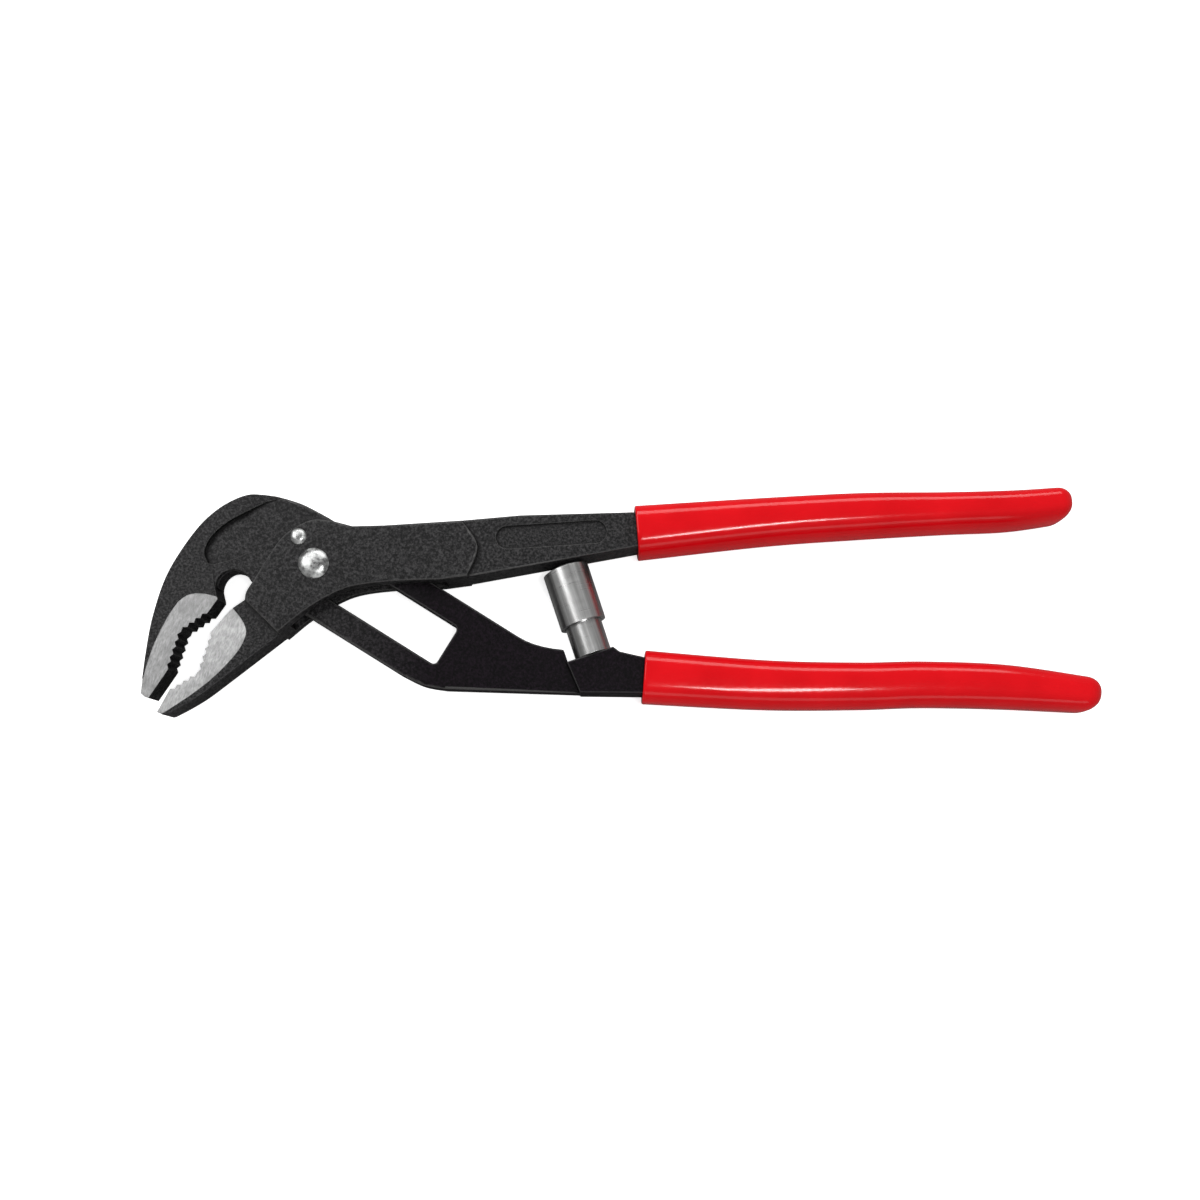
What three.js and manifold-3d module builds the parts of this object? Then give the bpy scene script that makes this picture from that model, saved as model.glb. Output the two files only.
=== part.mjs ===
import * as THREE from 'three';
import { mergeVertices } from 'three/addons/utils/BufferGeometryUtils.js';
import Module from 'manifold-3d';

// Self-adjusting water pump pliers lying on their side, in millimetres.
// The origin is on the main pivot, at the surface that the pliers rest on.
// X points from the pivot to the handles, Y from the lower handle to the upper one, Z up.

const degree = Math.PI / 180;

// Thickness of the forgings through the tool
const boxThickness = 11.4;
const armThickness = 4.6;
const jawThickness = 6.8;
const handleThickness = 9.1;
const forgedEdge = 0.7;
const armEdge = 0.8;

// Arm of the lower lever, measured from the pivot along its own slope
const armAngle = -32 * degree;
const armHalfWidth = 12.6;
const slotHalfWidth = 5.8;
const slotShift = 0.2;
const slotCorner = 1.2;
const slotEndGap = 0.9;
const notchRadius = 4.5;
const notchBack = 15.5;
const notchDepth = 0.72;

// Travel: the pivot runs down the slot while the handles spread, and a squeeze turns it back
const slideTravel = 34;
const spreadAngle = 33.9 * degree;
const squeezeAngle = 3.2 * degree;

// Clearances
const cheekGap = 0.3;
const webGap = 0.4;
const slotGap = 0.3;
const pinGap = 0.15;
const lockGap = 0.5;
const seatGap = 0.05;
const gripGap = 0.25;
const strutGap = 0.35;
const socketGap = 0.15;

// Rivets
const pivotRadius = 2.9;
const pivotHeadRadius = 4;
const pivotHeadHeight = 1.05;
const pivotFlatRadius = 2.2;
const lockRadius = 1.25;
const lockBack = 7.1;
const lockHeadRadius = 2.1;
const lockHeadHeight = 0.75;
const lockFlatRadius = 1;

// Jaw teeth, and the step where the jaws' sides are ground bright
const toothDepth = 0.7;
const groundDepth = 0.2;

// Strut between the handles, leaning from the lower handle's boss towards the jaws
const strutLean = 18.3 * degree;
const strutFoot = new THREE.Vector2(73.3, -23.2);
const spotRadius = 7.5;
const spotDepth = 12;
const bossReach = 5.4;
const spigotRadius = 3;
const spigotLength = 7;
const plungerRadius = 4.95;
const plungerFloor = 1.5;
const sleeveRadius = 6.2;
const sleeveWall = 0.5;
const sleeveLength = 15;
const sleeveRimHeight = 1;
const domeRadius = 14;
const domeWall = 0.9;
const strutTravel = 3.9;
const strutEndGap = 0.7;
const ringWidth = 0.9;
const ringDepth = 0.5;
const ringShoulder = 1.2;
const springWire = 0.9;
const springTurns = 10;

// Dipped grips
const gripWall = 1.95;
const gripRound = 4;

// Plate recess on the upper handle
const recessStart = new THREE.Vector2(50.6, 7.1);
const recessEnd = new THREE.Vector2(73.8, 8.6);
const recessRadius = 3;
const recessDepth = 0.5;

// Fineness of round shapes
const curveSegments = 5;
const edgeSteps = 2;
const gripEdgeSteps = 5;
const bandSteps = 18;
const capSteps = 10;
const roundSides = 40;
const domeSteps = 5;
const springStepsPerTurn = 8;
const springSides = 5;

// Outlines on the plan, from the pivot
const hookTip = [-44.4, -35];
const hookHeel = [-45.3, -34.7];
const hookTipFlatEnd = [-39.1, -27.3];
const hookEye = [-35.7, -17.4];
const hookRootFlatStart = [-28.9, -12.7];
const hookRootFlatEnd = [-26.1, -8.8];
const hookCrown = [[3.6, 12.7], [-0.2, 14.8], [-4.7, 17], [-10.8, 18.8], [-13, 19]];
const hookBack = [
  [-9.8, 18.2], [-14.6, 18.9], [-18.9, 18.5], [-25.5, 15.2], [-31.8, 9.3],
  [-39, -1.6], [-43, -12.8], [-45, -23], [-46.4, -33.7],
];
const hookPocket = [
  [-26.9, -5.2], [-27.4, -1.6], [-28.9, 1.2], [-29.5, 4],
  [-27.6, 7.8], [-23.6, 11.4], [-18.2, 14.4], [-13.4, 17],
];
const hookInside = [[-20, 15.6], [-29, 9], [-34, -2], [-30, -6.2]];
const hookNeck = [
  [-31, -6.6], [-25.8, -6.6], [-20, -4], [-17.6, -1.5], [-17.6, 3.9], [-22.7, 1.7], [-27.2, 0.3], [-31, 1],
];
const hookTaper = [-20, -9.6];
const neckTaper = [-28.5, -18.4];
const neckRim = 0.4;
const hookTeethNearTip = 5;
const hookTeethNearRoot = 4;
const hookGround = [
  [-46.6, -32.4], [-45.4, -28], [-43.1, -21], [-40, -14.7], [-36.6, -9.5],
  [-33.4, -7.5], [-29.9, -7.3], [-26.4, -8.1],
];
const hookGroundPast = [[-22, -14], [-34, -26], [-40, -38], [-48, -38]];

const jawTip = [-42.1, -38.7];
const jawToe = [-40.5, -39.4];
const jawBelly = [[-38.9, -38.9], [-31.8, -34.9], [-24.6, -29.6]];
const jawTipFlatEnd = [-38.6, -32.5];
const jawEye = [-31.5, -28.2];
const jawRootFlatStart = [-28, -17.8];
const jawRootFlatEnd = [-22.7, -11.7];
const jawTeethNearRoot = 5;
const jawTeethNearTip = 4;
const jawInsideBox = [[-6, -13], [-12, -6], [-16.5, -7.5]];
const jawGround = [
  [-23.6, -9.5], [-20.1, -13.6], [-18.6, -16.6], [-18.9, -19.3], [-21.3, -23.4],
  [-26.6, -29], [-31.9, -33.3], [-37.2, -36.9], [-41.2, -39.4],
];
const jawGroundPast = [[-44, -41.4], [-48, -38], [-30, -14]];

const boxBelly = [[-3.5, -13.1], [2.9, -9], [9.5, -6.2], [19.1, -4.85], [33, -4.3]];
const boxToe = [-9.6, -18.1];
const undersideStart = [40.1, -3.35];
const boxShoulder = [[43, 4.5], [38.8, 11.4]];
const boxTop = [[18.3, 10.1], [10, 9.9]];
const cheekEdge = [
  [4.3, 11.3], [-0.6, 11.5], [-5.6, 9.2], [-9, 6.3],
  [-12.2, 1.7], [-15.6, -3.8], [-17.8, -7.2], [-18.3, -9.6],
];
const cheekCorner = [-17.2, -10.6];
const upperHandleTop = [[54, 13.1], [36, 11.5]];
const upperHandleRoot = [[36, 8], [36, -1]];

const armBelly = [[28, -31.5], [34, -32.6]];
const armBellyStart = 34;
const armHip = [[65.3, -21.9], [72, -24]];
const armHipStart = 55;
const armHipBend = 60.4;
const armTail = [75, -33.9];
const lowerHandleStep = [69.7, -33.7];
const lowerHandleLip = [80.2, -22.8];

// Grip centre lines: share of the grip's length from its front, height on the plan, half width
const upperGripFront = 84.65;
const upperGripLength = 110.95;
const upperGripLine = [
  [0, 9.35, 6.8], [0.307, 12.3, 5.9], [0.533, 13.85, 5.6],
  [0.741, 14.65, 5], [0.895, 15.25, 4.85], [1, 16.4, 4.4],
].map(([share, y, half]) => [upperGripFront + share * upperGripLength, y, half]);
const lowerGripFront = 86.55;
const lowerGripLength = 116.45;
const lowerGripLine = [
  [0, -29.1, 7], [0.276, -31.2, 6.5], [0.491, -31.5, 6.2],
  [0.638, -31.1, 6.05], [0.819, -31.7, 5.8], [1, -33.7, 4.75],
].map(([share, y, half]) => [lowerGripFront + share * lowerGripLength, y, half]);

const colours = {
  forging: { color: 0x2b2b2c, roughness: 0.6, metalness: 0.3 },
  zinc: { color: 0xc9cbcc, roughness: 0.28, metalness: 1 },
  steel: { color: 0xb4b4b2, roughness: 0.25, metalness: 1 },
  spring: { color: 0x8a8a88, roughness: 0.35, metalness: 1 },
  grip: { color: 0xd81019, roughness: 0.3, metalness: 0 },
};

// Sizes that follow from the ones above
const pliersHalfHeight = Math.max(
  boxThickness / 2 + pivotHeadHeight,
  handleThickness / 2 + gripGap + gripWall,
);
const bushRadius = slotHalfWidth - slotShift - slotGap;
const lockSide = slotHalfWidth + slotShift - lockRadius - lockGap - lockBack * Math.sin(squeezeAngle);
const slotTop = -(lockBack + lockRadius + slotEndGap);
const slotBottom = slideTravel + bushRadius + slotEndGap;

const wasm = await Module();
wasm.setup();

function point([x, y]) {
  return new THREE.Vector2(x, y);
}

// A place on the arm: distance down its slope from the pivot and to its upper side
function onArm(down, side) {
  return new THREE.Vector2(down, side).rotateAround(new THREE.Vector2(), armAngle);
}

// A place by the strut's foot: distance across the strut and up along it
function byStrut(across, up) {
  return new THREE.Vector2(across, up).rotateAround(new THREE.Vector2(), strutLean).add(strutFoot);
}

// Height on the strut's axis where the dome's shoulder leaves the set gap under the upper handle
function shoulderHeight() {
  const start = point(undersideStart);
  const [end] = band(upperGripLine, gripWall + gripGap);
  const direction = end.clone().sub(start).normalize();
  const normal = new THREE.Vector2(-direction.y, direction.x);
  const axis = byStrut(0, 1).sub(strutFoot);
  const reach = normal.dot(start.clone().sub(strutFoot)) - domeRadius - strutGap;
  return reach / normal.dot(axis) + Math.sqrt(domeRadius ** 2 - sleeveRadius ** 2);
}

const sleeveShoulder = shoulderHeight();
const sleeveMouth = sleeveShoulder - sleeveLength;
const sleeveRoof = sleeveShoulder - domeWall;
const plungerTop = sleeveRoof - strutTravel - strutEndGap;

function toSolid(geometry, matrix = new THREE.Matrix4()) {
  const bare = geometry.clone().applyMatrix4(matrix);
  bare.deleteAttribute('normal');
  bare.deleteAttribute('uv');
  const merged = mergeVertices(bare);
  const corners = merged.index.array;
  const kept = [];
  for (let i = 0; i < corners.length; i += 3) {
    const [a, b, c] = corners.slice(i, i + 3);
    if (a !== b && b !== c && c !== a) kept.push(a, b, c);
  }
  return new wasm.Manifold(new wasm.Mesh({
    numProp: 3,
    vertProperties: new Float32Array(merged.attributes.position.array),
    triVerts: new Uint32Array(kept),
  }));
}

function toGeometry(solid) {
  const { vertProperties, triVerts } = solid.getMesh();
  const geometry = new THREE.BufferGeometry();
  geometry.setAttribute('position', new THREE.BufferAttribute(new Float32Array(vertProperties), 3));
  geometry.setIndex(new THREE.BufferAttribute(new Uint32Array(triVerts), 1));
  geometry.computeVertexNormals();
  return geometry;
}

// A plate with rounded edges, centred on the tool's middle plane
function plate(shape, thickness, edge = 0, steps = edgeSteps) {
  const geometry = new THREE.ExtrudeGeometry(shape, {
    depth: thickness - 2 * edge,
    curveSegments,
    bevelEnabled: edge > 0,
    bevelThickness: edge,
    bevelSize: edge,
    bevelOffset: -edge,
    bevelSegments: steps,
  });
  return geometry.translate(0, 0, edge - thickness / 2);
}

// A round bar or hole along Z at a place on the plan
function upright(radius, height, place) {
  const bar = new THREE.CylinderGeometry(radius, radius, height, roundSides);
  return bar.rotateX(Math.PI / 2).translate(place.x, place.y, 0);
}

function turned(profile) {
  return new THREE.LatheGeometry(profile.map(point), roundSides);
}

// Crests on the straight line between two places, with roots cut to its left
function teeth(from, to, count) {
  const start = point(from);
  const step = point(to).sub(start).divideScalar(count);
  const inward = new THREE.Vector2(-step.y, step.x).setLength(toothDepth);
  const edge = [];
  for (let i = 0; i < count; i += 1) {
    edge.push(start.clone().addScaledVector(step, i));
    edge.push(start.clone().addScaledVector(step, i + 0.5).add(inward));
  }
  return edge;
}

// Outline round a curved centre line, square at the front and round at the back
function band(stations, inset, lead = 0) {
  const line = new THREE.SplineCurve(stations.map(point));
  const widths = new THREE.SplineCurve(stations.map(([, , half], i) => new THREE.Vector2(i, half)));
  const lower = [];
  const upper = [];
  for (let i = 0; i <= bandSteps; i += 1) {
    const t = i / bandSteps;
    const centre = line.getPoint(t);
    const across = line.getTangent(t).rotateAround(new THREE.Vector2(), Math.PI / 2);
    const half = widths.getPoint(t).y - inset;
    lower.push(centre.clone().addScaledVector(across, -half));
    upper.unshift(centre.clone().addScaledVector(across, half));
  }
  if (lead > 0) {
    const ahead = line.getTangent(0).multiplyScalar(-lead);
    lower.unshift(lower[0].clone().add(ahead));
    upper.push(upper.at(-1).clone().add(ahead));
  }
  const end = line.getPoint(1);
  const radius = widths.getPoint(1).y - inset;
  const heading = line.getTangent(1).angle();
  const cap = new THREE.EllipseCurve(
    end.x, end.y, radius, radius, heading - Math.PI / 2, heading + Math.PI / 2,
  );
  return [...lower, ...cap.getPoints(capSteps).slice(1, -1), ...upper];
}

function hookJawShape() {
  const shape = new THREE.Shape([
    point(hookTip),
    ...teeth(hookTipFlatEnd, hookEye, hookTeethNearTip),
    ...teeth(hookEye, hookRootFlatStart, hookTeethNearRoot),
    point(hookRootFlatStart),
    point(hookRootFlatEnd),
  ]);
  shape.splineThru(hookPocket.map(point));
  shape.splineThru(hookBack.map(point));
  shape.lineTo(...hookHeel);
  return shape;
}

function notchCentre() {
  return onArm(-notchBack, -armHalfWidth - notchRadius + notchDepth);
}

function armShape() {
  const notch = notchCentre();
  const edgeRise = notchRadius - notchDepth;
  const notchEnd = Math.asin(edgeRise / notchRadius) + armAngle;
  const shape = new THREE.Shape();
  shape.moveTo(...hookInside.at(-1));
  shape.absarc(notch.x, notch.y, notchRadius, Math.PI, notchEnd, true);
  const corner = onArm(armBellyStart, -armHalfWidth);
  shape.lineTo(corner.x, corner.y);
  shape.splineThru(armBelly.map(point));
  shape.lineTo(...armTail);
  shape.lineTo(...armHip[1]);
  shape.lineTo(...armHip[0]);
  const hip = onArm(armHipStart, armHalfWidth);
  const bend = onArm(armHipBend, armHalfWidth);
  shape.quadraticCurveTo(bend.x, bend.y, hip.x, hip.y);
  const shoulder = onArm(slotEndGap, armHalfWidth);
  shape.lineTo(shoulder.x, shoulder.y);
  shape.splineThru(hookCrown.map(point));
  for (const place of hookInside.slice(0, -1)) shape.lineTo(...place);
  shape.holes.push(slotPath());
  return shape;
}

function slotPath() {
  const long = slotBottom - slotCorner;
  const short = slotTop + slotCorner;
  const wide = slotHalfWidth - slotCorner;
  const corners = [
    [short, -wide, Math.PI], [long, -wide, -Math.PI / 2], [long, wide, 0], [short, wide, Math.PI / 2],
  ];
  const path = new THREE.Path();
  for (const [down, side, from] of corners) {
    const centre = onArm(down, side + slotShift);
    path.absarc(centre.x, centre.y, slotCorner, from + armAngle, from + armAngle + Math.PI / 2);
  }
  return path;
}

function lowerHandleShape() {
  return new THREE.Shape([
    point(lowerHandleStep),
    ...band(lowerGripLine, gripWall + gripGap),
    point(lowerHandleLip),
    byStrut(bossReach, 0),
    byStrut(-spotRadius, 0),
  ]);
}

function lowerLever() {
  const strut = strutMatrix();
  const spot = new THREE.CylinderGeometry(spotRadius, spotRadius, spotDepth, roundSides);
  const bore = spigotRadius + socketGap;
  const depth = spigotLength + socketGap;
  const socket = new THREE.CylinderGeometry(bore, bore, 2 * depth, roundSides);
  return toGeometry(
    toSolid(plate(armShape(), armThickness, armEdge))
      .add(tapered(groundJaw(hookJawShape(), hookGround, hookGroundPast), hookTaper))
      .add(tapered(hookNeckSolid(), neckTaper))
      .add(toSolid(plate(lowerHandleShape(), handleThickness, forgedEdge)))
      .subtract(toSolid(spot.translate(0, spotDepth / 2, 0), strut))
      .subtract(toSolid(socket, strut)),
  );
}

function hookNeckSolid() {
  const rim = upright(notchRadius + neckRim, 2 * jawThickness, notchCentre());
  return toSolid(plate(new THREE.Shape(hookNeck.map(point)), jawThickness)).subtract(toSolid(rim));
}

// Both sides sloped from the jaw's thickness down to the arm's, between two places on X
function tapered(solid, [start, end]) {
  const fall = (jawThickness - armThickness) / 2;
  const reach = 8 * armHalfWidth;
  const slope = Math.atan2(fall, end - start);
  const cutter = new THREE.BoxGeometry(reach, reach, jawThickness)
    .translate(reach / 2, 0, jawThickness / 2)
    .rotateY(slope)
    .translate(start, 0, jawThickness / 2);
  return solid.subtract(toSolid(cutter)).subtract(toSolid(cutter.clone().rotateX(Math.PI)));
}

function strutMatrix() {
  return new THREE.Matrix4().makeRotationZ(strutLean).setPosition(strutFoot.x, strutFoot.y, 0);
}

function boxShape() {
  const shape = new THREE.Shape();
  shape.moveTo(...boxToe);
  shape.splineThru(boxBelly.map(point));
  shape.lineTo(...undersideStart);
  shape.splineThru(boxShoulder.map(point));
  for (const place of boxTop) shape.lineTo(...place);
  shape.splineThru(cheekEdge.map(point));
  shape.lineTo(...cheekCorner);
  return shape;
}

function lowerJawShape() {
  const shape = new THREE.Shape();
  shape.moveTo(...jawToe);
  shape.splineThru([...jawBelly, boxToe].map(point));
  const rest = [
    ...jawInsideBox.map(point),
    point(jawRootFlatEnd),
    ...teeth(jawRootFlatStart, jawEye, jawTeethNearRoot),
    ...teeth(jawEye, jawTipFlatEnd, jawTeethNearTip),
    point(jawTipFlatEnd),
    point(jawTip),
  ];
  for (const place of rest) shape.lineTo(place.x, place.y);
  return shape;
}

// A jaw with the ground part of each side set back
function groundJaw(jaw, boundary, past) {
  const area = new THREE.Shape();
  area.moveTo(...boundary[0]);
  area.splineThru(boundary.slice(1).map(point));
  for (const place of past) area.lineTo(...place);
  const grinder = plate(area, 2 * groundDepth);
  const side = jawThickness / 2;
  return toSolid(plate(jaw, jawThickness))
    .subtract(toSolid(grinder.clone().translate(0, 0, side)))
    .subtract(toSolid(grinder.translate(0, 0, -side)));
}

function upperHandleShape() {
  return new THREE.Shape([
    point(undersideStart),
    ...band(upperGripLine, gripWall + gripGap),
    ...upperHandleTop.map(point),
    ...upperHandleRoot.map(point),
  ]);
}

// The arm's way through the box: every slope that it takes between a squeeze and a full spread
function armWayShape() {
  const reach = 3 * armHalfWidth;
  const tight = armAngle + squeezeAngle;
  const wide = armAngle - spreadAngle;
  const fork = (armHalfWidth + webGap) / Math.cos((tight - wide) / 2);
  const middle = (tight + wide) / 2 + Math.PI / 2;
  const upperFork = new THREE.Vector2(fork, 0).rotateAround(new THREE.Vector2(), middle);
  const lowerFork = upperFork.clone().negate();
  const tightRun = new THREE.Vector2(reach, 0).rotateAround(new THREE.Vector2(), tight);
  const wideRun = new THREE.Vector2(reach, 0).rotateAround(new THREE.Vector2(), wide);
  return new THREE.Shape([
    upperFork,
    upperFork.clone().sub(wideRun),
    lowerFork.clone().sub(tightRun),
    lowerFork,
    lowerFork.clone().add(wideRun),
    upperFork.clone().add(tightRun),
  ]);
}

function recessShape() {
  const heading = recessEnd.clone().sub(recessStart).angle();
  const shape = new THREE.Shape();
  shape.absarc(recessStart.x, recessStart.y, recessRadius, heading + Math.PI / 2, heading + 1.5 * Math.PI);
  shape.absarc(recessEnd.x, recessEnd.y, recessRadius, heading - Math.PI / 2, heading + Math.PI / 2);
  return shape;
}

function upperLever() {
  const lockPlace = onArm(-lockBack, lockSide);
  const recess = plate(recessShape(), 2 * recessDepth).translate(0, 0, handleThickness / 2);
  return toGeometry(
    toSolid(plate(boxShape(), boxThickness, forgedEdge))
      .add(groundJaw(lowerJawShape(), jawGround, jawGroundPast))
      .add(toSolid(plate(upperHandleShape(), handleThickness, forgedEdge)))
      .subtract(toSolid(plate(armWayShape(), armThickness + 2 * cheekGap)))
      .subtract(toSolid(upright(pivotRadius + pinGap, 2 * boxThickness, new THREE.Vector2())))
      .subtract(toSolid(upright(lockRadius + pinGap, 2 * boxThickness, lockPlace)))
      .subtract(toSolid(recess)),
  );
}

// A rivet with a domed, flat-topped head on each side of the box
function rivet(shank, head, height, flat) {
  const seat = boxThickness / 2 + seatGap;
  const top = boxThickness / 2 + height;
  const rise = (top - seat) / 2;
  const shoulder = head - (head - flat) * 0.25;
  const half = [[shank, seat], [head, seat], [shoulder, seat + rise], [flat, top], [0, top]];
  const mirrored = half.map(([radius, y]) => [radius, -y]).reverse();
  return turned([...mirrored, ...half]).rotateX(Math.PI / 2);
}

function pivotBush() {
  const bore = pivotRadius + pinGap;
  const half = armThickness / 2;
  return turned([
    [bore, -half], [bushRadius, -half], [bushRadius, half], [bore, half], [bore, -half],
  ]).rotateX(Math.PI / 2);
}

function strutSleeve() {
  const bore = sleeveRadius - sleeveWall;
  const rim = plungerRadius + pinGap;
  const dome = [];
  const edge = Math.asin(sleeveRadius / domeRadius);
  const centre = sleeveShoulder - Math.cos(edge) * domeRadius;
  for (let i = 0; i <= domeSteps; i += 1) {
    const angle = edge * (1 - i / domeSteps);
    dome.push([Math.sin(angle) * domeRadius, centre + Math.cos(angle) * domeRadius]);
  }
  dome[domeSteps][0] = 0;
  return turned([
    [0, sleeveRoof], [bore, sleeveRoof], [bore, sleeveMouth + sleeveRimHeight],
    [rim, sleeveMouth + sleeveRimHeight], [rim, sleeveMouth], [sleeveRadius, sleeveMouth], ...dome,
  ]);
}

function plungerBore() {
  return plungerRadius - ringDepth - ringShoulder / 2;
}

function strutPlunger() {
  const bore = plungerBore();
  const groove = plungerRadius - ringDepth;
  const grooveTop = plungerTop - ringShoulder;
  const grooveFoot = grooveTop - ringWidth - 2 * pinGap;
  return turned([
    [0, -spigotLength], [spigotRadius, -spigotLength], [spigotRadius, seatGap], [plungerRadius, seatGap],
    [plungerRadius, grooveFoot], [groove, grooveFoot], [groove, grooveTop], [plungerRadius, grooveTop],
    [plungerRadius, plungerTop], [bore, plungerTop], [bore, plungerFloor], [0, plungerFloor],
  ]);
}

function stopRing() {
  const inner = plungerRadius - ringDepth + pinGap;
  const outer = sleeveRadius - sleeveWall - pinGap;
  const top = plungerTop - ringShoulder - pinGap;
  const foot = top - ringWidth;
  return turned([[inner, foot], [outer, foot], [outer, top], [inner, top], [inner, foot]]);
}

// One unbroken wire wound from the plunger's floor to the sleeve's roof
function strutSpring() {
  const radius = plungerBore() - cheekGap - springWire / 2;
  const foot = plungerFloor + cheekGap + springWire / 2;
  const head = sleeveRoof - cheekGap - springWire / 2;
  const steps = springTurns * springStepsPerTurn;
  const places = [];
  for (let i = 0; i <= steps; i += 1) {
    const turn = (2 * Math.PI * i) / springStepsPerTurn;
    const height = foot + ((head - foot) * i) / steps;
    places.push(new THREE.Vector3(radius * Math.cos(turn), height, radius * Math.sin(turn)));
  }
  console.log('strut spring, least gap to itself', springGap(places).toFixed(2), 'mm');
  return springTube(places);
}

function springGap(places) {
  let least = Infinity;
  for (let i = 0; i < places.length; i += 1) {
    for (let j = i + springStepsPerTurn / 2; j < places.length; j += 1) {
      least = Math.min(least, places[i].distanceTo(places[j]) - springWire);
    }
  }
  return least;
}

function springTube(places) {
  const path = new THREE.CatmullRomCurve3(places);
  const section = new THREE.Shape();
  section.absarc(0, 0, springWire / 2, 0, 2 * Math.PI);
  return new THREE.ExtrudeGeometry(new THREE.Shape(section.getSpacedPoints(springSides).slice(1)), {
    steps: places.length - 1,
    extrudePath: path,
    bevelEnabled: false,
  });
}

function grip(stations) {
  const halfThickness = handleThickness / 2 + gripGap;
  const thickness = 2 * (halfThickness + gripWall);
  const outline = new THREE.Shape(band(stations, 0, 2 * gripRound));
  const pocket = new THREE.Shape(band(stations, gripWall, 3 * gripRound));
  return toGeometry(
    toSolid(plate(outline, thickness, gripRound, gripEdgeSteps))
      .subtract(toSolid(plate(pocket, 2 * halfThickness)))
      .subtract(toSolid(plate(aheadOf(stations), 2 * thickness))),
  );
}

// The ground ahead of a grip's front edge, where the skin is cut square
function aheadOf(stations) {
  const line = new THREE.SplineCurve(stations.map(point));
  const back = line.getTangent(0).multiplyScalar(4 * gripRound);
  const across = back.clone().rotateAround(new THREE.Vector2(), Math.PI / 2);
  const low = line.getPoint(0).sub(across);
  const high = line.getPoint(0).add(across);
  return new THREE.Shape([low.clone().sub(back), low, high, high.clone().sub(back)]);
}

function addPiece(parent, name, geometry, look) {
  const piece = new THREE.Mesh(geometry, new THREE.MeshStandardMaterial(colours[look]));
  piece.name = name;
  parent.add(piece);
  return piece;
}

const pliers = new THREE.Group();
pliers.position.z = pliersHalfHeight;
addPiece(pliers, 'lower_lever', lowerLever(), 'forging');
addPiece(pliers, 'upper_lever', upperLever(), 'forging');
const pivotRivet = rivet(pivotRadius, pivotHeadRadius, pivotHeadHeight, pivotFlatRadius);
addPiece(pliers, 'pivot_rivet', pivotRivet, 'zinc');
addPiece(pliers, 'pivot_bush', pivotBush(), 'steel');
const lockRivet = rivet(lockRadius, lockHeadRadius, lockHeadHeight, lockFlatRadius);
const lock = addPiece(pliers, 'lock_rivet', lockRivet, 'zinc');
lock.position.set(...onArm(-lockBack, lockSide), 0);
addPiece(pliers, 'upper_grip', grip(upperGripLine), 'grip');
addPiece(pliers, 'lower_grip', grip(lowerGripLine), 'grip');

const strut = new THREE.Group();
strut.position.set(strutFoot.x, strutFoot.y, 0);
strut.rotation.z = strutLean;
pliers.add(strut);
addPiece(strut, 'strut_sleeve', strutSleeve(), 'steel');
addPiece(strut, 'strut_plunger', strutPlunger(), 'steel');
addPiece(strut, 'strut_stop_ring', stopRing(), 'spring');
addPiece(strut, 'strut_spring', strutSpring(), 'spring');

export default pliers;
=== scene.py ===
import math

import bmesh
import bpy
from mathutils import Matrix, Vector


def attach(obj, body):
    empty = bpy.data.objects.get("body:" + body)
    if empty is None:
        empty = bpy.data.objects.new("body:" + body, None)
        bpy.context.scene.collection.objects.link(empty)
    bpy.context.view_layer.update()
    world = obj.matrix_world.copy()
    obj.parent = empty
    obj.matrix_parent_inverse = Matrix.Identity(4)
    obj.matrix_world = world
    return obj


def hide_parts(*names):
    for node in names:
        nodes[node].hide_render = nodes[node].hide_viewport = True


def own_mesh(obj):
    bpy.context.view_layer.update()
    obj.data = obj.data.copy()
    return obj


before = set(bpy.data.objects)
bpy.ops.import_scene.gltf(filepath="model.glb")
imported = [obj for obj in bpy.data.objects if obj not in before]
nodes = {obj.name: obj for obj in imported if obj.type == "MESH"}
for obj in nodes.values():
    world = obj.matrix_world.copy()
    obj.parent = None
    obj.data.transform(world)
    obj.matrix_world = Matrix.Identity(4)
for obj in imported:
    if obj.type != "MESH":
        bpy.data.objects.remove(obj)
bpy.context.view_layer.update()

mm = 0.001
scene = bpy.context.scene


# Shader building


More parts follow.
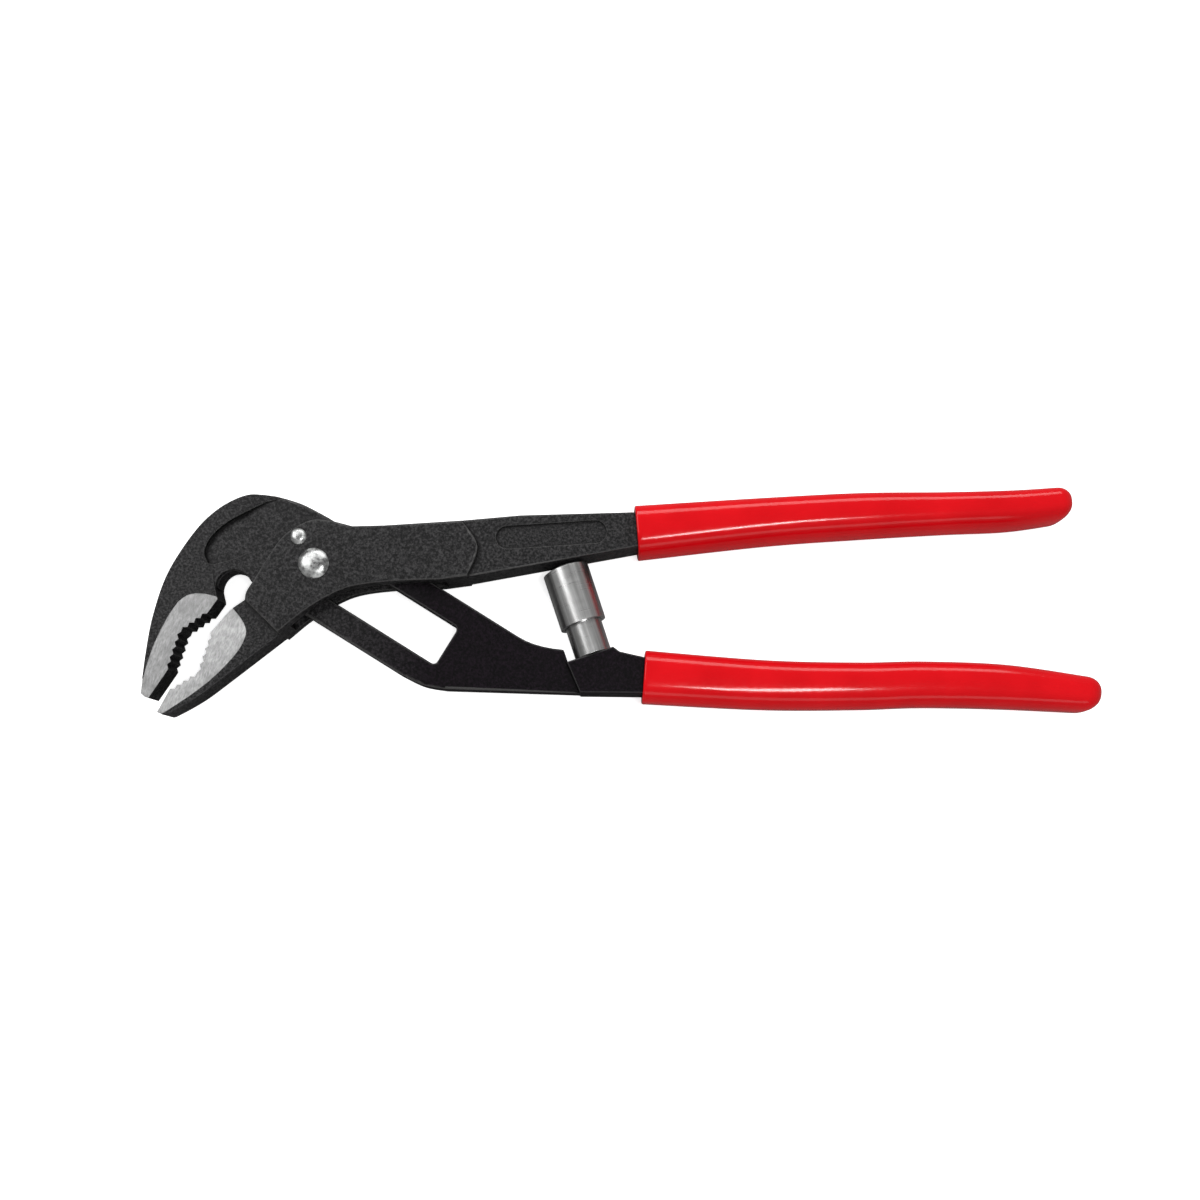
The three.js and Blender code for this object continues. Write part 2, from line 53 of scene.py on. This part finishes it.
class Shader:
    def __init__(self, name):
        self.material = bpy.data.materials.new(name)
        self.material.use_nodes = True
        self.tree = self.material.node_tree
        self.surface = self.tree.nodes["Principled BSDF"]
        self.place = self.add("ShaderNodeTexCoord").outputs["Object"]

    def add(self, kind, **values):
        made = self.tree.nodes.new(kind)
        for key, value in values.items():
            setattr(made, key, value)
        return made

    def put(self, socket, value):
        if isinstance(value, bpy.types.NodeSocket):
            self.tree.links.new(value, socket)
        else:
            socket.default_value = value

    def stretch(self, scale, turn=0.0):
        mapping = self.add("ShaderNodeMapping", vector_type="TEXTURE")
        self.put(mapping.inputs["Vector"], self.place)
        mapping.inputs["Rotation"].default_value = (0, 0, turn)
        mapping.inputs["Scale"].default_value = scale
        return mapping.outputs["Vector"]

    def noise(self, scale, detail=3.0, rough=0.55, place=None):
        made = self.add("ShaderNodeTexNoise")
        self.put(made.inputs["Vector"], place or self.place)
        made.inputs["Scale"].default_value = scale
        made.inputs["Detail"].default_value = detail
        made.inputs["Roughness"].default_value = rough
        return made.outputs["Fac"]

    def span(self, value, low, high, lowResult, highResult):
        made = self.add("ShaderNodeMapRange", clamp=True)
        self.put(made.inputs["Value"], value)
        for key, amount in zip(
            ("From Min", "From Max", "To Min", "To Max"),
            (low, high, lowResult, highResult),
        ):
            made.inputs[key].default_value = amount
        return made.outputs["Result"]

    def mix(self, factor, first, second):
        made = self.add("ShaderNodeMix", data_type="RGBA")
        self.put(made.inputs["Factor"], factor)
        self.put(made.inputs["A"], first)
        self.put(made.inputs["B"], second)
        return made.outputs["Result"]

    def math(self, operation, first, second):
        made = self.add("ShaderNodeMath", operation=operation)
        self.put(made.inputs[0], first)
        self.put(made.inputs[1], second)
        return made.outputs[0]

    def bump(self, height, distance, strength=1.0, normal=None):
        made = self.add("ShaderNodeBump")
        made.inputs["Strength"].default_value = strength
        made.inputs["Distance"].default_value = distance
        self.put(made.inputs["Height"], height)
        if normal is not None:
            self.put(made.inputs["Normal"], normal)
        return made.outputs["Normal"]

    def softEdge(self, radius):
        made = self.add("ShaderNodeBevel", samples=4)
        made.inputs["Radius"].default_value = radius
        return made.outputs["Normal"]

    # Mask of convex edges from the Bevel normal, lightened for paint wear and as a painted edge
    # highlight
    def edgeWearAndHighlight(self, edge, low, high):
        made = self.add("ShaderNodeVectorMath", operation="DOT_PRODUCT")
        self.put(made.inputs[0], edge)
        self.put(made.inputs[1], self.add("ShaderNodeNewGeometry").outputs["Normal"])
        return self.span(made.outputs["Value"], low, high, 1.0, 0.0)

    # Painted highlight: a mask of the sloping bevel faces, found by the tilt of their normal, which
    # are lightened like a catch light
    def rounding(self):
        facing = self.add("ShaderNodeSeparateXYZ")
        self.put(facing.inputs[0], self.add("ShaderNodeTexCoord").outputs["Normal"])
        upright = self.math("ABSOLUTE", facing.outputs["Z"], 0.0)
        lower = self.span(upright, 0.15, 0.5, 0.0, 1.0)
        return self.math("MULTIPLY", lower, self.span(upright, 0.9, 0.985, 1.0, 0.0))

    # Ambient occlusion within a short reach: low in creases and at the feet of walls
    def open(self, distance):
        made = self.add("ShaderNodeAmbientOcclusion", samples=6, only_local=True)
        made.inputs["Distance"].default_value = distance
        return made.outputs["AO"]

    def finish(self, values):
        for key, value in values.items():
            self.put(self.surface.inputs[key], value)
        return self.material


def grey(level, alpha=1.0):
    return (level, level, level, alpha)


paintLook = {
    "dark": (0.002, 0.002, 0.0022, 1),
    "light": (0.04, 0.039, 0.04, 1),
    "armDark": (0.001, 0.0006, 0.001, 1),
    "armLight": (0.008, 0.0045, 0.008, 1),
    # colour of the lightened edges: worn paint and a painted edge highlight
    "edge": (0.13, 0.128, 0.126, 1),
    # painted shade for creases and inner corners
    "paintedCreaseShade": (0.0006, 0.0006, 0.0006, 1),
    "armFrom": -0.006,
    "armTo": 0.03,
    "grain": 2700,
    "patch": 55,
    "grainHeight": 0.12 * mm,
    "gloss": 0.16,
    "armGloss": 0.07,
    "edgeRound": 0.4 * mm,
    "creaseShadeReach": 1.6 * mm,
}


def paintMaterial(name, darkArm):
    shader = Shader(name)
    grain = shader.noise(paintLook["grain"], 2.0, 0.6)
    lumps = shader.noise(paintLook["grain"] * 0.55, 2.0, 0.5)
    patch = shader.noise(paintLook["patch"], 4.0, 0.6)
    tone = shader.math("MULTIPLY", grain, lumps)
    spots = shader.span(tone, 0.18, 0.38, 0.0, 1.0)
    colour = shader.mix(spots, paintLook["dark"], paintLook["light"])
    gloss = paintLook["gloss"]
    if darkArm:
        split = shader.add("ShaderNodeSeparateXYZ")
        shader.put(split.inputs[0], shader.place)
        along = shader.span(split.outputs["X"], paintLook["armFrom"], paintLook["armTo"], 0.0, 1.0)
        armColour = shader.mix(spots, paintLook["armDark"], paintLook["armLight"])
        colour = shader.mix(along, colour, armColour)
        gloss = shader.span(along, 0.0, 1.0, paintLook["gloss"], paintLook["armGloss"])
    height = shader.math("ADD", grain, lumps)
    edge = shader.softEdge(paintLook["edgeRound"])
    free = shader.open(paintLook["creaseShadeReach"])
    # Edges and rounded bevels are lightened towards the edge colour: paint wear together with a
    # painted highlight, kept off the creases
    rubbedAndLit = shader.math("MAXIMUM", shader.edgeWearAndHighlight(edge, 0.86, 0.992), shader.rounding())
    wearAndHighlight = shader.math("MULTIPLY", rubbedAndLit, shader.span(free, 0.84, 0.98, 0.0, 1.0))
    colour = shader.mix(shader.math("MULTIPLY", wearAndHighlight, patch), colour, paintLook["edge"])
    # Painted shade: the colour goes to near black where ambient occlusion is low, in creases and at
    # the feet of walls
    colour = shader.mix(shader.span(free, 0.55, 0.92, 0.0, 1.0), paintLook["paintedCreaseShade"], colour)
    return shader.finish({
        "Base Color": colour,
        "Roughness": shader.span(patch, 0.3, 0.7, 0.42, 0.54),
        "Specular IOR Level": gloss,
        "Normal": shader.bump(height, paintLook["grainHeight"], 0.7, edge),
    })


groundLook = {
    "dark": 0.22,
    "light": 0.46,
    # the hook's ground faces are the same steel painted 0.72 as bright: painted shade
    "hookShadeShare": 0.72,
    "jawShare": 1.0,
    "lines": 2300,
    "lineLength": 3.5,
    "blotch": 260,
    "turn": math.radians(-20),
    "edgeRound": 0.15 * mm,
    "scratch": 0.04 * mm,
}


def groundMaterial(name, share):
    shader = Shader(name)
    across = shader.stretch((1.0, groundLook["lineLength"], 1.0), groundLook["turn"])
    lines = shader.noise(groundLook["lines"], 3.0, 0.65, across)
    blotch = shader.noise(groundLook["blotch"], 4.0, 0.6)
    tone = shader.math("MULTIPLY", lines, blotch)
    colour = shader.mix(
        shader.span(tone, 0.14, 0.4, 0.0, 1.0),
        grey(groundLook["dark"] * share),
        grey(groundLook["light"] * share),
    )
    edge = shader.softEdge(groundLook["edgeRound"])
    return shader.finish({
        "Base Color": colour,
        "Metallic": 0.85,
        "Roughness": shader.span(blotch, 0.3, 0.7, 0.34, 0.5),
        "Normal": shader.bump(lines, groundLook["scratch"], 0.35, edge),
    })


zincLook = {
    "dark": (0.22, 0.22, 0.22, 1),
    "light": (0.6, 0.61, 0.6, 1),
    "mottle": 560,
    "lumps": 0.09 * mm,
}


def zincMaterial():
    shader = Shader("mottledZinc")
    mottle = shader.noise(zincLook["mottle"], 3.0, 0.6)
    fine = shader.noise(zincLook["mottle"] * 4, 2.0, 0.5)
    colour = shader.mix(
        shader.span(mottle, 0.38, 0.62, 0.0, 1.0), zincLook["dark"], zincLook["light"]
    )
    return shader.finish({
        "Base Color": colour,
        "Metallic": 0.9,
        "Roughness": shader.span(mottle, 0.35, 0.65, 0.24, 0.46),
        "Normal": shader.bump(shader.math("ADD", mottle, fine), zincLook["lumps"], 0.4),
    })


strutLook = {
    "dark": (0.36, 0.36, 0.355, 1),
    "light": (0.72, 0.72, 0.715, 1),
    "lean": math.radians(18.3),
    "reflectionStreaks": 650,
    "reflectionStreakLength": 40.0,
    "rings": 3200,
    "ringLength": 30.0,
    "ringDepth": 0.003 * mm,
    "edgeRound": 0.2 * mm,
}


def strutMaterial():
    shader = Shader("turnedSteel")
    along = shader.stretch((1.0, strutLook["reflectionStreakLength"], 1.0), strutLook["lean"])
    # Lengthwise light and dark streaks along the strut: painted reflection bands
    reflectionStreaks = shader.noise(strutLook["reflectionStreaks"], 3.0, 0.6, along)
    ringLength = strutLook["ringLength"]
    ringwise = shader.stretch((ringLength, 1.0, ringLength), strutLook["lean"])
    rings = shader.noise(strutLook["rings"], 2.0, 0.5, ringwise)
    colour = shader.mix(
        shader.span(reflectionStreaks, 0.35, 0.68, 0.0, 1.0), strutLook["dark"], strutLook["light"]
    )
    edge = shader.softEdge(strutLook["edgeRound"])
    return shader.finish({
        "Base Color": colour,
        "Metallic": 1.0,
        "Roughness": shader.span(rings, 0.3, 0.7, 0.27, 0.33),
        "Normal": shader.bump(rings, strutLook["ringDepth"], 0.06, edge),
    })


gripLook = {
    "deep": (0.56, 0.0022, 0.0055, 1),
    "bright": (0.65, 0.0036, 0.008, 1),
    "cloud": 70,
    "dimple": 900,
    "dimpleDepth": 0.01 * mm,
    "wave": 95,
    "waveDepth": 0.4 * mm,
}


def gripMaterial():
    shader = Shader("redVinyl")
    cloud = shader.noise(gripLook["cloud"], 3.0, 0.55)
    dimple = shader.noise(gripLook["dimple"], 2.0, 0.5)
    wave = shader.noise(gripLook["wave"], 2.0, 0.5)
    colour = shader.mix(shader.span(cloud, 0.3, 0.7, 0.0, 1.0), gripLook["deep"], gripLook["bright"])
    waved = shader.bump(wave, gripLook["waveDepth"], 0.05)
    return shader.finish({
        "Base Color": colour,
        "Roughness": shader.span(dimple, 0.3, 0.7, 0.1, 0.16),
        "Specular IOR Level": 0.24,
        "Normal": shader.bump(dimple, gripLook["dimpleDepth"], 0.1, waved),
    })


plainLook = {
    "dark": (0.2, 0.2, 0.2, 1),
    "light": (0.42, 0.42, 0.41, 1),
    "blotch": 800,
    "pits": 0.03 * mm,
}


def plainSteelMaterial():
    shader = Shader("plainSteel")
    blotch = shader.noise(plainLook["blotch"], 3.0, 0.6)
    colour = shader.mix(blotch, plainLook["dark"], plainLook["light"])
    return shader.finish({
        "Base Color": colour,
        "Metallic": 1.0,
        "Roughness": shader.span(blotch, 0.3, 0.7, 0.3, 0.45),
        "Normal": shader.bump(blotch, plainLook["pits"], 0.3),
    })


paint = paintMaterial("blackPaint", False)
armPaint = paintMaterial("armPaint", True)
hookSteel = groundMaterial("hookSteel", groundLook["hookShadeShare"])
jawSteel = groundMaterial("jawSteel", groundLook["jawShare"])
zinc = zincMaterial()
strutSteel = strutMaterial()
vinyl = gripMaterial()
plainSteel = plainSteelMaterial()
print("materials ready")


# Pieces made from the solids


def insideOutline(place, outline):
    inside = False
    previous = outline[-1]
    for corner in outline:
        if (corner[1] > place.y) != (previous[1] > place.y):
            slope = (previous[0] - corner[0]) / (previous[1] - corner[1])
            if place.x < corner[0] + slope * (place.y - corner[1]):
                inside = not inside
        previous = corner
    return inside


def smoothCopy(nodeName, pieceName, materials, sharp=math.radians(32)):
    mesh = nodes[nodeName].data.copy()
    mesh.name = pieceName
    work = bmesh.new()
    work.from_mesh(mesh)
    bmesh.ops.remove_doubles(work, verts=work.verts, dist=0.01 * mm)
    bmesh.ops.dissolve_degenerate(work, edges=work.edges, dist=0.005 * mm)
    bmesh.ops.recalc_face_normals(work, faces=work.faces)
    for face in work.faces:
        face.smooth = True
        face.material_index = 0
    for edge in work.edges:
        edge.smooth = len(edge.link_faces) == 2 and edge.calc_face_angle(0.0) < sharp
    work.to_mesh(mesh)
    work.free()
    piece = bpy.data.objects.new(pieceName, mesh)
    scene.collection.objects.link(piece)
    mesh.materials.clear()
    for material in materials:
        mesh.materials.append(material)
    return piece


def weighNormals(piece):
    weighing = piece.modifiers.new("faceWeights", "WEIGHTED_NORMAL")
    weighing.keep_sharp = True
    weighing.weight = 50


def settle(piece, body, slotName, *replaced):
    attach(piece, body)
    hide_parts(*replaced)
    return piece


hookGround = [
    (-46.6, -32.4), (-45.4, -28.0), (-43.1, -21.0), (-40.0, -14.7), (-36.6, -9.5), (-33.4, -7.5),
    (-29.9, -7.3), (-26.4, -8.1), (-22.0, -14.0), (-34.0, -26.0), (-40.0, -38.0), (-48.0, -38.0),
]
jawGround = [
    (-23.6, -9.5), (-20.1, -13.6), (-18.6, -16.6), (-18.9, -19.3), (-21.3, -23.4), (-26.6, -29.0),
    (-31.9, -33.3), (-37.2, -36.9), (-41.2, -39.4), (-44.0, -41.4), (-48.0, -38.0), (-30.0, -14.0),
]


def grindFaces(piece, outline):
    area = [(x * mm, y * mm) for x, y in outline]
    for face in piece.data.polygons:
        if abs(face.normal.z) > 0.9 and insideOutline(face.center, area):
            face.material_index = 1


lowerLever = smoothCopy("lower_lever", "lowerLeverForging", [armPaint, hookSteel])
grindFaces(lowerLever, hookGround)
weighNormals(lowerLever)
settle(lowerLever, "lower_lever", "lower_forging", "lower_lever")
upperLever = smoothCopy("upper_lever", "upperLeverForging", [paint, jawSteel])
grindFaces(upperLever, jawGround)
weighNormals(upperLever)
settle(upperLever, "upper_lever", "upper_forging", "upper_lever")
print("levers ready")

gripShape = {
    "middle": 6.75,
    "wall": 1.95,
    "halfThick": 6.75,
    "halfPocket": 4.8,
    "outerPower": 2.8,
    "innerPower": 9.0,
    "lip": 0.45,
    "sides": 56,
    "steps": 84,
    "capSteps": 9,
}
gripLines = {
    "upper": [
        (84.65, 9.35, 6.8), (118.71, 12.3, 5.9), (143.79, 13.85, 5.6),
        (166.86, 14.65, 5.0), (183.95, 15.25, 4.85), (195.6, 16.4, 4.4),
    ],
    "lower": [
        (86.55, -29.1, 7.0), (118.69, -31.2, 6.5), (143.73, -31.5, 6.2),
        (160.85, -31.1, 6.05), (181.92, -31.7, 5.8), (203.0, -33.7, 4.75),
    ],
}


def alongSpline(values, share):
    last = len(values) - 1
    start = min(int(share * last), last - 1)
    t = share * last - start
    before = values[max(start - 1, 0)]
    here = values[start]
    ahead = values[start + 1]
    beyond = values[min(start + 2, last)]
    leave = (ahead - before) / 2
    arrive = (beyond - here) / 2
    curve = (2 * here - 2 * ahead + leave + arrive) * t ** 3
    return curve + (3 * ahead - 3 * here - 2 * leave - arrive) * t ** 2 + leave * t + here


def gripStations(line):
    centres = [Vector((x, y)) for x, y, _ in line]
    halves = [half for _, _, half in line]
    stations = []
    for i in range(gripShape["steps"] + 1):
        share = i / gripShape["steps"]
        behind = alongSpline(centres, max(share - 0.001, 0))
        front = alongSpline(centres, min(share + 0.001, 1))
        heading = (front - behind).normalized()
        stations.append((alongSpline(centres, share), heading, alongSpline(halves, share)))
    return stations


def squared(value, power):
    return math.copysign(abs(value) ** (2 / power), value)


# A circle squared off to the grip's section, set across the heading
def gripRing(work, centre, heading, half, halfThick, power):
    across = Vector((-heading.y, heading.x))
    ring = bmesh.ops.create_circle(work, segments=gripShape["sides"], radius=1)["verts"]
    for corner in ring:
        place = centre + across * squared(corner.co.x, power) * half
        rise = squared(corner.co.y, power) * halfThick
        corner.co = (place.x * mm, place.y * mm, (gripShape["middle"] + rise) * mm)
    return list(dict.fromkeys(edge for corner in ring for edge in corner.link_edges))


def gripSurface(work, stations, inset, halfThick, power):
    rings = [
        gripRing(work, centre, heading, half - inset, halfThick, power)
        for centre, heading, half in stations
    ]
    centre, heading, half = stations[-1]
    radius = half - inset
    for i in range(1, gripShape["capSteps"]):
        turn = math.pi / 2 * i / gripShape["capSteps"]
        place = centre + heading * radius * math.sin(turn)
        thick = halfThick * math.cos(turn) ** 0.7
        rings.append(gripRing(work, place, heading, radius * math.cos(turn), thick, power))
    for first, second in zip(rings, rings[1:]):
        bmesh.ops.bridge_loops(work, edges=first + second)
    end = bmesh.ops.edgeloop_fill(work, edges=rings[-1])["faces"]
    pole = bmesh.ops.poke(work, faces=end)["verts"][0]
    tip = centre + heading * radius
    pole.co = (tip.x * mm, tip.y * mm, gripShape["middle"] * mm)
    return rings[0]


def makeGrip(line, pieceName):
    stations = gripStations(line)
    work = bmesh.new()
    lip = gripShape["lip"]
    start, heading, half = stations[0]
    stations[0] = (start + heading * lip, heading, half)
    outer = gripSurface(work, stations, 0, gripShape["halfThick"], gripShape["outerPower"])
    stations[0] = (start, heading, half)
    inner = gripSurface(
        work, stations, gripShape["wall"], gripShape["halfPocket"], gripShape["innerPower"]
    )
    ringBefore = outer
    for turn in (30, 60, 90):
        drop = lip * (1 - math.cos(math.radians(turn)))
        ahead = lip * (1 - math.sin(math.radians(turn)))
        ring = gripRing(
            work, start + heading * ahead, heading, half - drop,
            gripShape["halfThick"] - drop, gripShape["outerPower"],
        )
        bmesh.ops.bridge_loops(work, edges=ringBefore + ring)
        ringBefore = ring
    bmesh.ops.triangle_fill(work, edges=ringBefore + inner, use_beauty=True)
    bmesh.ops.recalc_face_normals(work, faces=work.faces)
    mesh = bpy.data.meshes.new(pieceName)
    for face in work.faces:
        face.smooth = True
    for edge in work.edges:
        edge.smooth = edge.calc_face_angle(0.0) < math.radians(40)
    work.to_mesh(mesh)
    work.free()
    mesh.materials.append(vinyl)
    piece = bpy.data.objects.new(pieceName, mesh)
    scene.collection.objects.link(piece)
    return piece


settle(makeGrip(gripLines["upper"], "upperGripSkin"), "upper_lever", "grip_vinyl", "upper_grip")
settle(makeGrip(gripLines["lower"], "lowerGripSkin"), "lower_lever", "grip_vinyl", "lower_grip")
print("grips ready")

for nodeName, pieceName, body, slotName, material in (
    ("pivot_rivet", "pivotRivetBody", "pivot", "rivet_zinc", zinc),
    ("lock_rivet", "lockRivetBody", "upper_lever", "rivet_zinc", zinc),
    ("pivot_bush", "pivotBushBody", "slide_block", "bush_steel", plainSteel),
    ("strut_sleeve", "strutSleeveBody", "sleeve", "strut_steel", strutSteel),
    ("strut_plunger", "strutPlungerBody", "lower_lever", "strut_steel", strutSteel),
    ("strut_stop_ring", "strutRingBody", "lower_lever", "spring_steel", plainSteel),
):
    small = smoothCopy(nodeName, pieceName, [material], math.radians(35))
    settle(small, body, slotName, nodeName)

spring = smoothCopy("strut_spring", "strutSpringWire", [plainSteel], math.radians(80))
settle(spring, "lower_lever", "spring_steel", "strut_spring")
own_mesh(spring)
print("rivets and strut ready")


# Camera, ground and light

view = {
    "distance": 0.270,
    "centre": (75.0 * mm, -70.65 * mm),
    "middle": 6.75 * mm,
    "front": 6.5 * mm,
    "field": 0.3132,
    "sensor": 36,
    "rowsBelowMiddle": 233,
    "rows": 1200,
}

camera = bpy.data.cameras.new("photoCamera")
camera.sensor_width = view["sensor"]
camera.lens = view["sensor"] * (view["distance"] - view["front"]) / view["field"]
camera.shift_y = view["rowsBelowMiddle"] / view["rows"]
camera.clip_start = 0.01
cameraObject = bpy.data.objects.new("photoCamera", camera)
scene.collection.objects.link(cameraObject)
cameraObject.location = (*view["centre"], view["middle"] + view["distance"])
scene.camera = cameraObject
scene.view_settings.view_transform = "Standard"

floorLook = {
    "half": 3.0,
    "drop": 0.02 * mm,
    "clouds": 9,
    "glow": 0.7,  # seen by the camera only, so that the ground is white
    "farGlow": 1.0,
    "near": 0.3,
    "far": 1.0,
}


def makeFloor():
    mesh = bpy.data.meshes.new("whiteFloor")
    work = bmesh.new()
    bmesh.ops.create_grid(work, x_segments=1, y_segments=1, size=floorLook["half"])
    bmesh.ops.translate(work, verts=work.verts, vec=(0, 0, -floorLook["drop"]))
    work.to_mesh(mesh)
    work.free()
    shader = Shader("whiteGround")
    cloud = shader.noise(floorLook["clouds"], 2.0, 0.5)
    path = shader.add("ShaderNodeLightPath")
    seen = path.outputs["Is Camera Ray"]
    white = shader.mix(cloud, grey(0.8), grey(0.84))
    away = shader.add("ShaderNodeVectorMath", operation="LENGTH")
    shader.put(away.inputs[0], shader.place)
    glow = shader.span(
        away.outputs["Value"],
        floorLook["near"],
        floorLook["far"],
        floorLook["glow"],
        floorLook["farGlow"],
    )
    mesh.materials.append(
        shader.finish({
            # Glossy rays see the floor dark grey: painted shade in the floor's reflections on the
            # parts
            "Base Color": shader.mix(path.outputs["Is Glossy Ray"], white, grey(0.2)),
            "Roughness": 0.9,
            "Specular IOR Level": 0.0,
            "Emission Color": grey(1.0),
            "Emission Strength": shader.math("MULTIPLY", seen, glow),
        })
    )
    floor = bpy.data.objects.new("whiteFloor", mesh)
    scene.collection.objects.link(floor)
    return floor


makeFloor()

lampTarget = (0.08, -0.01, 0.0)
lamps = {
    "stripLamp": {"place": (0.215, -0.13, 0.6), "size": (0.2, 0.05), "power": 1.5},
    "leftSoftbox": {"place": (-0.42, 0.3, 0.55), "size": (0.5, 0.5), "power": 3.2},
    "farSoftbox": {"place": (0.15, 0.75, 0.5), "size": (0.9, 0.3), "power": 4.5},
    "nearSoftbox": {"place": (0.15, -0.8, 0.45), "size": (0.9, 0.3), "power": 1.3},
}


def makeLamps():
    target = Vector(lampTarget)
    for name, look in lamps.items():
        lamp = bpy.data.lights.new(name, "AREA")
        lamp.shape = "RECTANGLE"
        lamp.size, lamp.size_y = look["size"]
        lamp.energy = look["power"]
        lampObject = bpy.data.objects.new(name, lamp)
        scene.collection.objects.link(lampObject)
        lampObject.location = look["place"]
        aim = target - Vector(look["place"])
        lampObject.rotation_euler = aim.to_track_quat("-Z", "Y").to_euler()


makeLamps()

skyLook = {"level": 0.26, "seen": 1.0}
world = bpy.data.worlds.new("studio")
scene.world = world
world.use_nodes = True
background = world.node_tree.nodes["Background"]
background.inputs["Color"].default_value = (1, 1, 1, 1)
lit = world.node_tree.nodes.new("ShaderNodeLightPath")
level = world.node_tree.nodes.new("ShaderNodeMapRange")
level.inputs["To Min"].default_value = skyLook["level"]
level.inputs["To Max"].default_value = skyLook["seen"]
world.node_tree.links.new(lit.outputs["Is Camera Ray"], level.inputs["Value"])
world.node_tree.links.new(level.outputs["Result"], background.inputs["Strength"])
print("camera, ground and light ready")
